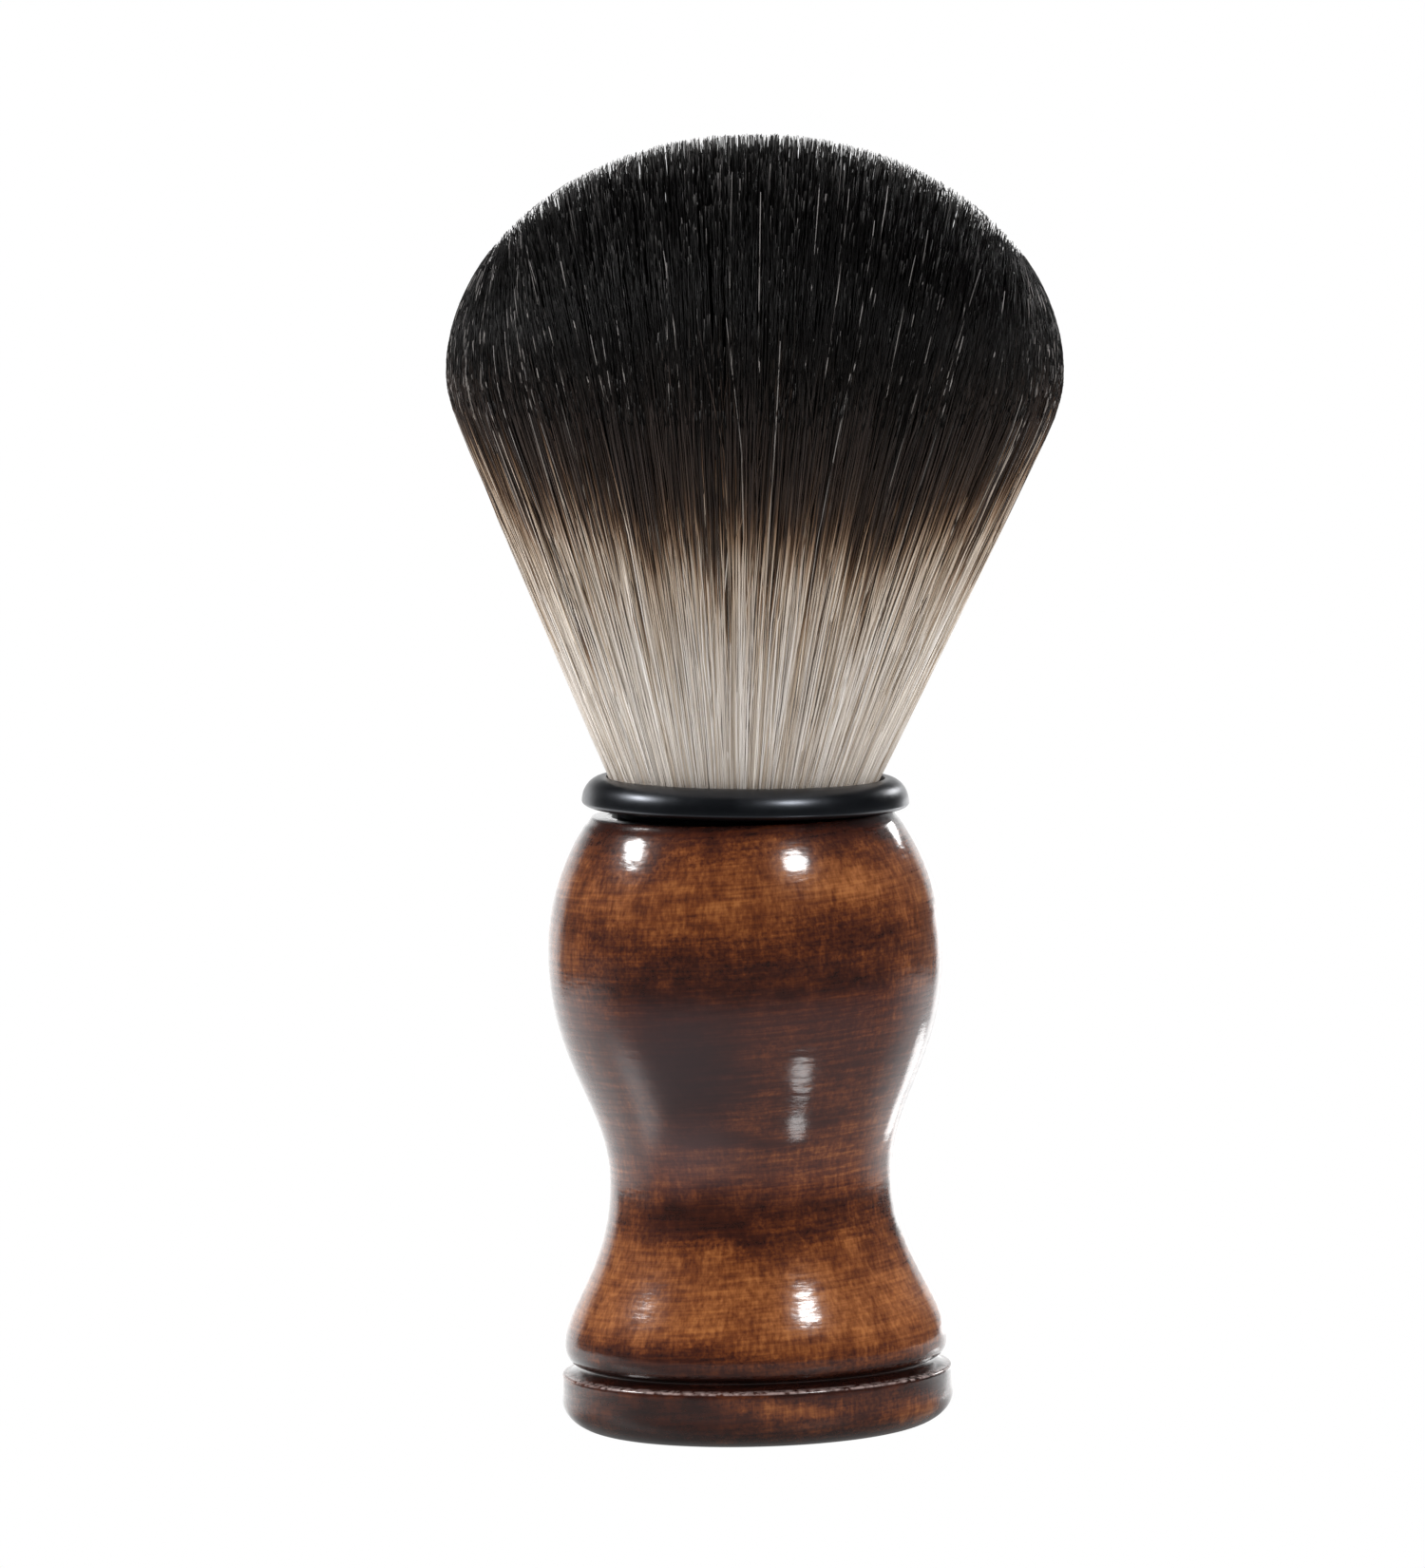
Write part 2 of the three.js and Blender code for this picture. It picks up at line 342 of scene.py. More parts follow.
def stain_depth(nodes, x, y, level):
    """The stain's depth by height, with its uneven places."""
    top = HANDLE_TOP["z"]
    ramp = nodes.ramp(nodes.math("DIVIDE", level, top), [(z / top, (d, d, d, 1)) for z, d in STAIN_DEPTH])
    depth = nodes.math("ADD", ramp, 0.0)
    for facing, z, half_width, half_height, amount in STAIN_PATCHES:
        reach = patch_reach(nodes, x, y, level, facing, z, half_width, half_height)
        depth = nodes.math("ADD", depth, nodes.between(reach, 0.25, 1.25, amount, 0.0))
    return depth


def stained_wood():
    """Banded stain on plain wood, with fine stipple, flecks and lines of grain, under a coat of varnish.
    Painted into its colour are a milky reflection haze over the middle, greyish reflection haze in a few
    places, a highlight line along the foot's rim and shade in the groove and under the collar.
    """
    nodes = Nodes("stained_wood", Coat_Weight=1.0, Coat_Roughness=0.13, Coat_IOR=1.5,
                  Specular_IOR_Level=0.05)
    place = object_mm(nodes)
    x, y, z = nodes.separate(place)
    wander = nodes.noise(nodes.combine(x, y, nodes.math("MULTIPLY", z, 0.6)), 0.085, 3.0, 0.55)
    wander = nodes.math("MULTIPLY_ADD", wander, 4.0, -2.0)
    level = nodes.math("ADD", z, wander)
    depth = stain_depth(nodes, x, y, level)
    stipple = nodes.noise(place, 1.7, 3.0, 0.6)
    blotch = nodes.noise(place, 0.45, 3.0, 0.6)
    unevenness = nodes.math("ADD", nodes.math("MULTIPLY_ADD", stipple, 0.36, -0.18),
                            nodes.math("MULTIPLY_ADD", blotch, 0.6, -0.3))
    speckled = nodes.math("MULTIPLY", nodes.between(depth, 0.26, 0.44), nodes.between(depth, 0.74, 0.58))
    pores = nodes.between(nodes.noise(place, 3.2, 2.0, 0.5), 0.44, 0.64, -0.04, 0.09)
    depth = nodes.math("ADD", depth, nodes.math("ADD", unevenness, nodes.math("MULTIPLY", pores, speckled)))
    across = nodes.noise(nodes.combine(nodes.math("MULTIPLY", x, 0.05), nodes.math("MULTIPLY", y, 0.05),
                                       nodes.math("MULTIPLY_ADD", x, -0.06, z)), 3.0, 3.0, 0.65)
    along = nodes.noise(nodes.combine(x, y, nodes.math("MULTIPLY", z, 0.12)), 2.9, 2.0, 0.6)
    middle = nodes.math("MULTIPLY", nodes.between(level, 18.5, 21.5), nodes.between(level, 37.5, 34.5))
    line_depth = nodes.math("MULTIPLY_ADD", middle, 0.5, 0.6)
    lines = nodes.math("MULTIPLY", nodes.math("ADD", across, -0.5), line_depth)
    flecks = nodes.math("MULTIPLY_ADD", along, 0.55, -0.275)
    bare = nodes.between(depth, 0.35, 0.75, 1.0, 0.15)
    depth = nodes.math("ADD", depth, nodes.math("ADD", lines, nodes.math("MULTIPLY", flecks, bare)))
    wood = nodes.ramp(depth, [
        (0.00, srgb(130, 79, 40)), (0.20, srgb(107, 60, 27)), (0.35, srgb(86, 43, 18)),
        (0.50, srgb(67, 31, 14)), (0.65, srgb(50, 21, 12)), (0.80, srgb(38, 16, 11)),
        (0.95, srgb(30, 13, 10)), (1.00, srgb(26, 12, 10))])
    # Painted reflection: the middle of the handle is mixed towards a pale pinkish brown, a milky haze
    # standing in for the table's reflection in the varnish.
    wood = nodes.mix(nodes.math("MULTIPLY", middle, 0.26), wood, srgb(84, 52, 48))
    # Painted highlight: a pale, broken line along the top edge of the foot's rim.
    rim = nodes.math("ABSOLUTE", nodes.math("ADD", z, -FOOT["rim_z"] + 0.06))
    on_rim = nodes.between(rim, 0.03, 0.17, 1.0, 0.0)
    painted_rim_highlight = nodes.math("MULTIPLY", on_rim, nodes.between(stipple, 0.36, 0.62))
    wood = nodes.mix(nodes.math("MULTIPLY", painted_rim_highlight, 0.6), wood, srgb(150, 132, 128))
    # Painted reflection: greyish haze mixed into the colour in a few places.
    for facing, spot_z, half_width, half_height, amount, tint in PAINTED_HAZE_PATCHES:
        reach = patch_reach(nodes, x, y, level, facing, spot_z, half_width, half_height)
        wood = nodes.mix(nodes.between(reach, 0.1, 1.0, amount, 0.0), wood, tint)
    nodes.surface(Base_Color=wood)
    nodes.surface(Roughness=nodes.between(across, 0.3, 0.7, 0.32, 0.46))
    waves = nodes.noise(place, 0.55, 2.0, 0.5)
    grain = nodes.noise(nodes.combine(nodes.math("MULTIPLY", x, 0.25), nodes.math("MULTIPLY", y, 0.25), z),
                        2.2, 2.0, 0.5)
    height = nodes.math("ADD", nodes.math("MULTIPLY", waves, 0.6), nodes.math("MULTIPLY", grain, 0.4))
    relief = nodes.bump(height, 0.035)
    nodes.surface(Normal=relief, Coat_Normal=relief)
    return nodes.material


def black_plastic():
    """Moulded plastic, with a slightly uneven satin polish."""
    nodes = Nodes("black_plastic", Specular_IOR_Level=0.85, Specular_Tint=srgb(236, 242, 255))
    place = object_mm(nodes)
    haze = nodes.noise(place, 0.8, 3.0, 0.6)
    nodes.surface(Base_Color=nodes.mix(haze, srgb(4, 6, 9), srgb(8, 11, 15)))
    nodes.surface(Roughness=nodes.between(haze, 0.3, 0.7, 0.29, 0.33))
    return nodes.material


# The strands' map: its columns are kinds of strand, in a few classes that clumps share. The last is pale.
# Below MAP_TOP, v is the height from the root to the top of the knot; above TIP_V it is the strand's tip.
COLUMNS = 128
CLASSES = 16
MAP_TOP = 0.9
TIP_V = 0.92
ROOT_Z = 38.7
TOP_Z = DOME["z"] + DOME["height"]

# The heights between which the dye goes from none to full, in mm.
DYE_FROM = 62.0
DYE_TO = 98.0

# The strands' own shifts of the dye fade out below the first height, over the second length.
DYE_LAG_END = 87.0
DYE_LAG_FADE = 7.0


def bristle():
    """Colour from the strand's own map: u picks the kind of strand, v is the height up the knot."""
    nodes = Nodes("bristle", Roughness=0.46, Specular_IOR_Level=0.2)
    u, v, _ = nodes.separate(nodes.add("UVMap", uv_map=BAKE_UV).outputs["UV"])
    column = nodes.math("FLOOR", nodes.math("MULTIPLY", u, float(COLUMNS)))
    tuft = nodes.math("FLOOR", nodes.math("MULTIPLY", u, float(CLASSES)))
    own = nodes.chance(column)
    own_tone = nodes.chance(nodes.math("ADD", column, 311.5))
    own_rare = nodes.chance(nodes.math("ADD", column, 647.5))
    shared = nodes.chance(nodes.math("ADD", tuft, 919.5))
    height = nodes.math("MULTIPLY_ADD", v, (TOP_Z - ROOT_Z) / MAP_TOP, ROOT_Z)
    shift = nodes.math("MULTIPLY_ADD", own, 5.0, -2.0)
    tuft_shift = nodes.math("MULTIPLY_ADD", shared, 2.0, -0.6)
    late = nodes.between(own_rare, 0.90, 1.0, 0.0, -7.0)
    early = nodes.between(own_rare, 0.0, 0.14, 7.0, 0.0)
    own_shift = nodes.math("ADD", nodes.math("ADD", late, early), nodes.math("ADD", shift, tuft_shift))
    level = nodes.math("ADD", height, own_shift)
    dye = nodes.add("MapRange", {"Value": level, "From Min": DYE_FROM, "From Max": DYE_TO}).outputs["Result"]
    # Painted shade: the cream darkens towards the collar, below 57 mm, where the strands shade each other.
    root = nodes.between(height, 51.0, 57.0, 0.16, 0.0)
    cream = nodes.mix(own_tone, srgb(218, 212, 206), srgb(172, 157, 140))
    cream = nodes.mix(root, cream, srgb(92, 80, 70))
    dyed = nodes.ramp(dye, [
        (0.0, (1, 1, 1, 1)), (0.20, srgb(236, 226, 214)), (0.26, srgb(178, 154, 132)),
        (0.307, srgb(112, 90, 74)), (0.36, srgb(84, 72, 65)), (0.44, srgb(70, 61, 58)),
        (0.53, srgb(61, 55, 54)), (0.62, srgb(38, 36, 36)), (0.76, srgb(19, 18, 19)),
        (1.0, srgb(11, 10, 11))])
    body = nodes.mix(1.0, cream, dyed, "MULTIPLY")
    tip_kind = nodes.between(shared, 0.2, 0.9, 0.0, 0.12)
    tip = nodes.math("MULTIPLY", nodes.between(v, TIP_V, 1.0), tip_kind)
    body = nodes.mix(tip, body, srgb(176, 172, 170))
    pale = nodes.math("GREATER_THAN", tuft, CLASSES - 1.5)
    faded = nodes.ramp(dye, [
        (0.0, srgb(236, 228, 216)), (0.27, srgb(196, 182, 168)), (0.5, srgb(140, 134, 130)),
        (1.0, srgb(118, 114, 113))])
    faded = nodes.mix(nodes.math("MULTIPLY", own_tone, 0.75), faded, body)
    nodes.surface(Base_Color=nodes.mix(pale, body, faded))
    return nodes.material


def cast_resin():
    nodes = Nodes("cast_resin", Specular_IOR_Level=0.5)
    cloud = nodes.noise(object_mm(nodes), 0.6, 3.0)
    nodes.surface(Base_Color=nodes.mix(cloud, srgb(196, 150, 84), srgb(162, 116, 60)))
    nodes.surface(Roughness=nodes.between(cloud, 0.3, 0.7, 0.2, 0.4))
    return nodes.material


def binding_thread():
    nodes = Nodes("thread", Sheen_Weight=0.3)
    x, y, z = nodes.separate(object_mm(nodes))
    turn = nodes.math("ARCTAN2", y, x)
    slant = nodes.math("ADD", nodes.math("MULTIPLY", turn, 60.0), nodes.math("MULTIPLY", z, 9.0))
    twist = nodes.math("SINE", slant)
    raised = nodes.between(twist, -1.0, 1.0)
    nodes.surface(Base_Color=nodes.mix(raised, srgb(196, 184, 158), srgb(226, 218, 198)))
    nodes.surface(Roughness=nodes.between(twist, -1.0, 1.0, 0.75, 0.9))
    nodes.surface(Normal=nodes.bump(twist, 0.05))
    return nodes.material


def glue():
    nodes = Nodes("adhesive", Specular_IOR_Level=0.5)
    cloud = nodes.noise(object_mm(nodes), 0.5, 2.0)
    nodes.surface(Base_Color=nodes.mix(cloud, srgb(214, 192, 132), srgb(188, 160, 100)))
    nodes.surface(Roughness=nodes.between(cloud, 0.3, 0.7, 0.3, 0.5))
    return nodes.material


# ---------------------------------------------------------------- bristles

# Inner strands run straight from the collar to the dome. The last OUTER_STRANDS of them all stand round the
# outside: straight up to BEND_Z, then bent inwards to follow the dome. Clumps hold strands together at their
# tips, wisps lower down.
STRANDS = 18000
OUTER_STRANDS = 4600
STRAND_R = 0.062
SKIN_SHARE = (0.965, 0.993)
CLUMPS = 1100
WISPS = 2600
PALE_SHARE = 0.022
PIECES = 8
TIP_LENGTH = 1.0

# Where a strand's points lie, as shares of its free length, and of its straight and bent lengths.
FAN_STEPS = (0.1, 0.22, 0.36, 0.5, 0.64, 0.77, 0.88, 1.0)
OUTER_STEPS = (0.25, 0.5, 0.75, 1.0)
BENT_STEPS = (0.15, 0.36, 0.66, 1.0)
BEND_Z = 79.5
BEND_SOFTNESS = 0.013

# The brush is hand-made: its collar and its bristles stand a little askew, as tilts in degrees and shifts
# in mm towards +X. The tilt starts between the two heights.
ASKEW = dict(low_z=44.0, high_z=50.0, pivot_z=50.7)
COLLAR_ASKEW = dict(tilt=1.9, shift=0.33, lift=0.1)
HAIR_ASKEW = dict(tilt=2.4, shift=0.14, lift=0.15, lean=0.013)


def askew(points, tilt, shift, lift, lean=0.0):
    """The points tilted towards +X, sheared by lean, and moved."""
    share = np.clip((points[..., 2] - ASKEW["low_z"]) / (ASKEW["high_z"] - ASKEW["low_z"]), 0, 1)
    above = points[..., 2] - ASKEW["pivot_z"]
    turn = math.radians(tilt)
    moved = points.copy()
    moved[..., 0] += share * (shift + (math.tan(turn) + lean) * above)
    moved[..., 2] += share * (lift - math.sin(turn) * points[..., 0])
    return moved


def tip_height(share):
    """The height at which a straight strand meets the dome. share is how far it leans out: 0 at the axis,
    and 1 at the cone's side."""
    slope = (CONE["r"] - KNOT["mouth_r"]) / (CONE["z"] - KNOT["mouth_z"])
    apex = KNOT["mouth_z"] - KNOT["mouth_r"] / slope
    lean = (share * slope / DOME["r"]) ** 2
    upright = 1 / DOME["height"] ** 2
    a = lean + upright
    b = -2 * (lean * apex + upright * DOME["z"])
    c = lean * apex ** 2 + upright * DOME["z"] ** 2 - 1
    return (-b + np.sqrt(b * b - 4 * a * c)) / (2 * a)


def cone_radius(z):
    """The knot's radius at each height, with the cone's straight side carried on upwards."""
    slope = (CONE["r"] - KNOT["mouth_r"]) / (CONE["z"] - KNOT["mouth_z"])
    heights = [ROOT_Z, KNOT["thread_top_z"], KNOT["belly_z"], KNOT["mouth_z"], TOP_Z]
    radii = [KNOT["root_r"], KNOT["root_r"], KNOT["belly_r"], KNOT["mouth_r"],
             KNOT["mouth_r"] + slope * (TOP_Z - KNOT["mouth_z"])]
    return np.interp(z, heights, radii)


def spread_shares(count):
    """Shares for strands whose tips are spread evenly over the dome."""
    share = np.linspace(0, 1, 600)
    z = tip_height(share)
    r = share * cone_radius(z)
    band = np.hypot(np.diff(r), np.diff(z)) * (r[1:] + r[:-1]) / 2
    area = np.concatenate([[0], np.cumsum(band)])
    return np.interp((np.arange(count) + 0.5) / count, area / area[-1], share)


def dome_share(z):
    """How far out the knot reaches at a height, as a share of the cone carried on upwards: all of it below
    the dome, with a soft bend from one to the other."""
    rise = np.clip((z - DOME["z"]) / DOME["height"], -0.5, 1)
    dome = DOME["r"] * np.sqrt(1 - rise ** 2) / cone_radius(z)
    return (1 + dome) / 2 - np.sqrt(((1 - dome) / 2) ** 2 + BEND_SOFTNESS ** 2)


def sunflower(radius):
    """Points at the given radii, turned by the golden angle from one to the next."""
    angle = np.arange(len(radius)) * math.pi * (3 - math.sqrt(5))
    return np.stack([radius * np.cos(angle), radius * np.sin(angle)], 1)


def nearest(points, centres):
    """The index of the centre nearest to each point."""
    return np.concatenate([((chunk[:, None] - centres[None]) ** 2).sum(2).argmin(1)
                           for chunk in np.array_split(points, 40)])


def dye_lag_and_side_light(xy, rng):
    """How much higher the dye starts on each strand, in mm: unevenly round the knot and more towards its left
    and right sides, and, as a second number, more again at its left and right edges. The rise towards the
    left and right is painted light, standing in for backlight through the knot's thin edges."""
    turn = np.arctan2(xy[:, 1], xy[:, 0])
    waves = sum(rng.uniform(0.3, 0.8) * np.sin(k * turn + rng.uniform(0, 6.28)) for k in (2, 3, 5, 8, 13))
    edge = np.clip((np.abs(xy[:, 0]) - 0.80) / 0.16, 0, 1) * rng.uniform(0.2, 1.0, len(xy))
    return 4.0 * np.cos(turn) ** 2 * np.linalg.norm(xy, axis=1) ** 2 + waves, 7.5 * edge


def strand_spots(rng):
    """Where each strand stands in the knot, as shares of the cone's radius: the inner strands, then the outer
    ones."""
    inner = STRANDS - OUTER_STRANDS
    turn = rng.uniform(0, 2 * math.pi, OUTER_STRANDS)
    skin = np.stack([np.cos(turn), np.sin(turn)], 1) * rng.uniform(*SKIN_SHARE, OUTER_STRANDS)[:, None]
    spots = np.concatenate([sunflower(spread_shares(inner)) + rng.normal(0, 0.006, (inner, 2)), skin])
    reach = np.linalg.norm(spots, axis=1)
    return spots * np.minimum(1, SKIN_SHARE[1] / reach)[:, None]


def turned_in(sideways):
    """How much a strand bends towards the axis: 0 for strands at the front and back, which bend along Y, and
    1 for those at the left and right."""
    return np.clip((sideways - 0.6) / 0.4, 0, 1)


def tip_levels(spots, rng):
    """The height of each strand's tip. Inner strands end at the dome, and a few of them well below it. Outer
    strands end anywhere from the dome's foot up to where their bend brings them to the dome's edge."""
    reach = np.minimum(np.linalg.norm(spots, axis=1), SKIN_SHARE[1])
    tip_z = tip_height(reach) - 0.06 - np.abs(rng.normal(0, 0.06, STRANDS)) - rng.random(STRANDS) ** 14 * 5
    sideways = np.abs(spots[-OUTER_STRANDS:, 0])
    inwards = turned_in(sideways)
    heights = np.linspace(DOME["z"], TOP_Z, 400)
    last_share = sideways * (1 - inwards) / (1 - sideways * inwards)
    last_z = np.interp(-last_share, -dome_share(heights), heights)
    part_way = rng.random(OUTER_STRANDS) ** (0.45 + 0.5 * inwards)
    tip_z[-OUTER_STRANDS:] = DOME["z"] + (last_z - DOME["z"]) * part_way
    return tip_z


def point_levels(tip_z):
    """The heights of every strand's points, from the root to the tip."""
    fixed = np.array([ROOT_Z, KNOT["thread_top_z"], KNOT["belly_z"], KNOT["mouth_z"]])
    ends = tip_z[:, None] - TIP_LENGTH
    fan_z = KNOT["mouth_z"] + np.array(FAN_STEPS) * (ends - KNOT["mouth_z"])
    straight = KNOT["mouth_z"] + np.array(OUTER_STEPS) * (BEND_Z - KNOT["mouth_z"])
    bent = BEND_Z + np.array(BENT_STEPS) * (ends[-OUTER_STRANDS:] - BEND_Z)
    fan_z[-OUTER_STRANDS:] = np.concatenate([np.repeat(straight[None], OUTER_STRANDS, 0), bent], 1)
    return np.concatenate([np.repeat(fixed[None], STRANDS, 0), fan_z, tip_z[:, None]], 1)


def bent_to_dome(place, z):
    """Brings what stands out past the dome back to it. Strands at the front and back keep their X and move
    along Y, and strands at the left and right move straight towards the axis."""
    limit = dome_share(z)
    length = np.maximum(np.linalg.norm(place, axis=2), 1e-6)
    inwards = turned_in(np.abs(place[..., 0]) / length)
    shrink = 1 - inwards * (1 - np.minimum(1, limit / length))
    across = np.clip(place[..., 0] * shrink, -limit, limit)
    deep = np.sign(place[..., 1]) * np.sqrt(np.maximum(limit ** 2 - across ** 2, 0))
    return np.where((length > limit)[..., None], np.stack([across, deep], 2), place)


def strand_paths(rng):
    """Every strand's points, thickness, map height and clump."""
    spots = strand_spots(rng)
    centres = sunflower(spread_shares(CLUMPS)) + rng.normal(0, 0.012, (CLUMPS, 2))
    clump = nearest(spots, centres)
    wisps = sunflower(spread_shares(WISPS)) + rng.normal(0, 0.015, (WISPS, 2))
    wisp = nearest(spots + rng.normal(0, 0.01, spots.shape), wisps)
    wisp_rise = rng.uniform(0.08, 0.6, WISPS)[wisp][:, None]
    tip_z = tip_levels(spots, rng)
    z = point_levels(tip_z)
    rise = np.clip((z - KNOT["mouth_z"]) / (tip_z[:, None] - KNOT["mouth_z"]), 0, 1)
    pull = 0.14 * rise ** 1.2 * rng.uniform(0.2, 1.0, STRANDS)[:, None]
    gather = 0.55 * np.exp(-((rise - wisp_rise) / 0.17) ** 2) * rng.uniform(0.3, 1.0, STRANDS)[:, None]
    wave_dir = rng.normal(0, 1, (STRANDS, 2))
    wave_turn = rng.uniform(0, 2 * math.pi, STRANDS)[:, None]
    wave = np.sin(rise * 2 * math.pi * rng.uniform(0.5, 1.6, STRANDS)[:, None] + wave_turn)
    loose = np.where(rng.random(STRANDS) < 0.12, 0.03, 0.012)[:, None]
    drift = rng.normal(0, 0.008, (STRANDS, 2))
    place = (spots[:, None] + (centres[clump] - spots)[:, None] * pull[..., None]
             + (wisps[wisp] - spots)[:, None] * gather[..., None]
             + wave_dir[:, None] * (wave * loose * np.minimum(1, rise * 6))[..., None]
             + drift[:, None] * (rise ** 2)[..., None])
    far = np.linalg.norm(place, axis=2, keepdims=True)
    place = bent_to_dome(place * np.minimum(1, 0.997 / np.maximum(far, 1e-6)), z)
    points = np.concatenate([place * cone_radius(z)[..., None], z[..., None]], 2)
    taper = np.interp(rise, [0.0, 0.12, 0.4, 0.7, 0.9, 0.97, 1.0], [1.1, 1.15, 1.0, 0.95, 0.85, 0.75, 0.45])
    thickness = STRAND_R * taper * rng.uniform(0.8, 1.15, STRANDS)[:, None]
    # Painted light: the lags raise the dye towards the left and right sides, so those sides look paler, as if
    # backlit.
    lag, painted_side_light_lag = dye_lag_and_side_light(spots, rng)
    below_dome = np.clip((DYE_LAG_END - z) / DYE_LAG_FADE, 0, 1)
    dye_and_side_light_z = z - (lag[:, None] * rise + painted_side_light_lag[:, None] * rise ** 4) * below_dome
    height_v = (dye_and_side_light_z - ROOT_Z) / (TOP_Z - ROOT_Z) * MAP_TOP
    return points, thickness, height_v, clump


def strand_object(name, points, thickness, height_v, columns, turns):
    """Thin three-sided tapered strands, closed at both ends, in one mesh."""
    count, rows, _ = points.shape
    side = np.arange(3)
    angle = turns[:, None] + side * (2 * math.pi / 3)
    round_ = np.stack([np.cos(angle), np.sin(angle), np.zeros_like(angle)], 2)
    vertices = (points[:, :, None] + thickness[:, :, None, None] * round_[:, None]).reshape(-1, 3) * MM
    strand, row, edge = np.meshgrid(np.arange(count), np.arange(rows - 1), side, indexing="ij")
    here = (strand * rows + row) * 3
    nxt = (edge + 1) % 3
    quads = np.stack([here + edge, here + nxt, here + 3 + nxt, here + 3 + edge], 3).reshape(-1, 4)
    left = (columns[strand] + 0.1 + 0.8 * edge / 3) / COLUMNS
    right = (columns[strand] + 0.1 + 0.8 * (edge + 1) / 3) / COLUMNS
    is_tip = row == rows - 2
    low = np.where(is_tip, TIP_V, height_v[strand, row])
    high = np.where(is_tip, 0.995, height_v[strand, np.minimum(row + 1, rows - 2)])
    quad_uv = np.stack([np.stack([left, low], 3), np.stack([right, low], 3),
                        np.stack([right, high], 3), np.stack([left, high], 3)], 3)
    base = np.arange(count) * rows * 3
    top = base + (rows - 1) * 3
    caps = np.concatenate([base[:, None] + np.array([2, 1, 0]), top[:, None] + np.array([0, 1, 2])])
    spread = np.array([0.2, 0.5, 0.8])
    cap_u = (columns[:, None] + spread) / COLUMNS
    cap_low = np.stack([cap_u, np.array([0.0, 0.002, 0.0])[None].repeat(count, 0)], 2)
    cap_high = np.stack([cap_u, np.array([0.994, 0.998, 0.994])[None].repeat(count, 0)], 2)
    return mesh_object(name, vertices, [quads, caps], [quad_uv, cap_low, cap_high])


def bristles(material):
    """The fan of strands, in a few pieces side by side round the knot."""
    rng = np.random.default_rng(SEED)
    points, thickness, height_v, clump = strand_paths(rng)
    per_class = COLUMNS // CLASSES
    kind = rng.integers(0, CLASSES - 1, CLUMPS)[clump]
    # Painted light: pale strands are up to five times as common at the left and right edges, standing in for
    # backlight there.
    backlit_sides = np.clip(np.abs(points[:, 6, 0]) / cone_radius(points[:, 6, 2]) / 0.2 - 4.0, 0, 1)
    kind[rng.random(STRANDS) < PALE_SHARE * (1 + 4 * backlit_sides)] = CLASSES - 1
    columns = kind * per_class + rng.integers(0, per_class, STRANDS)
    turns = rng.uniform(0, 2 * math.pi, STRANDS)
    sector = np.floor((np.arctan2(points[:, 3, 1], points[:, 3, 0]) / (2 * math.pi) + 0.5) * PIECES)
    sector = np.clip(sector, 0, PIECES - 1)
    points = askew(points, **HAIR_ASKEW)
    for index in range(PIECES):
        chosen = sector == index
        piece = strand_object(f"bristles_{index + 1:02d}", points[chosen], thickness[chosen],
                              height_v[chosen], columns[chosen], turns[chosen])
        piece.data.materials.append(material)
        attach(piece, "root")
        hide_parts("bristle_knot")


# ---------------------------------------------------------------- handle, collar and inner pieces


def tool_marks(angle, height, radius):
    """Faint rings from the turning tool, a slightly uneven coat of varnish and a fuller shoulder, in
    millimetres. The rings are fainter where the waist starts."""
    rings = 0.0018 * np.sin(height * 8.1 + 0.8 * np.sin(height * 1.3)) + 0.0009 * np.sin(height * 14.7)
    rings *= 1 - 0.75 * np.exp(-((height - 27.7) / 2.0) ** 2)
    sway = 0.012 * np.sin(3 * angle + height * 0.21) + 0.008 * np.sin(5 * angle - height * 0.33 + 1.0)
    shoulder = 0.055 * np.exp(-((height - 48.8) / 1.7) ** 2)
    outside = (radius > 10.9) & (height > 0.5) & (height < 48.8)
    return np.where(outside, rings + sway + shoulder, 0.0)


def handle(material):
    piece = turned_object("turned_handle", handle_outline(), 240, tool_marks)
    piece.data.materials.append(material)
    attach(piece, "root")
    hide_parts("handle")


def collar(material):
    piece = turned_object("moulded_collar", collar_outline(), 192, place=lambda p: askew(p, **COLLAR_ASKEW))
    piece.data.materials.append(material)
    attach(piece, "root")
    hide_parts("collar_ring")


def dress(node, material):
    """Gives a CAD node that keeps its own shape its finished material."""
    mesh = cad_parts[node].data
    mesh.materials.clear()
    mesh.materials.append(material)


# ---------------------------------------------------------------- stage, light and camera

CAMERA_DISTANCE = 1.0
CAMERA_HEIGHT = 0.1402
CAMERA_ROLL = -1.58
VIEW_HEIGHT = 0.12546
VIEW_CENTRE = Vector((-0.00228, 0.0, 0.05183))
SENSOR = 36.0


def camera():
    """A long lens, a little above the brush and looking slightly down, framed by height."""
    data = bpy.data.cameras.new("camera")
    eye = bpy.data.objects.new("camera", data)
    bpy.context.scene.collection.objects.link(eye)
    eye.location = (VIEW_CENTRE.x, -CAMERA_DISTANCE, CAMERA_HEIGHT)
    gaze = VIEW_CENTRE - eye.location
    level = gaze.to_track_quat("-Z", "Y")
    eye.rotation_euler = (level @ Quaternion((0, 0, 1), math.radians(CAMERA_ROLL))).to_euler()
    data.sensor_width = SENSOR
    data.lens = SENSOR * gaze.length / VIEW_HEIGHT
    data.clip_start = 0.01
    data.clip_end = 50
    bpy.context.scene.camera = eye


LAMP_DISTANCE = 3.0


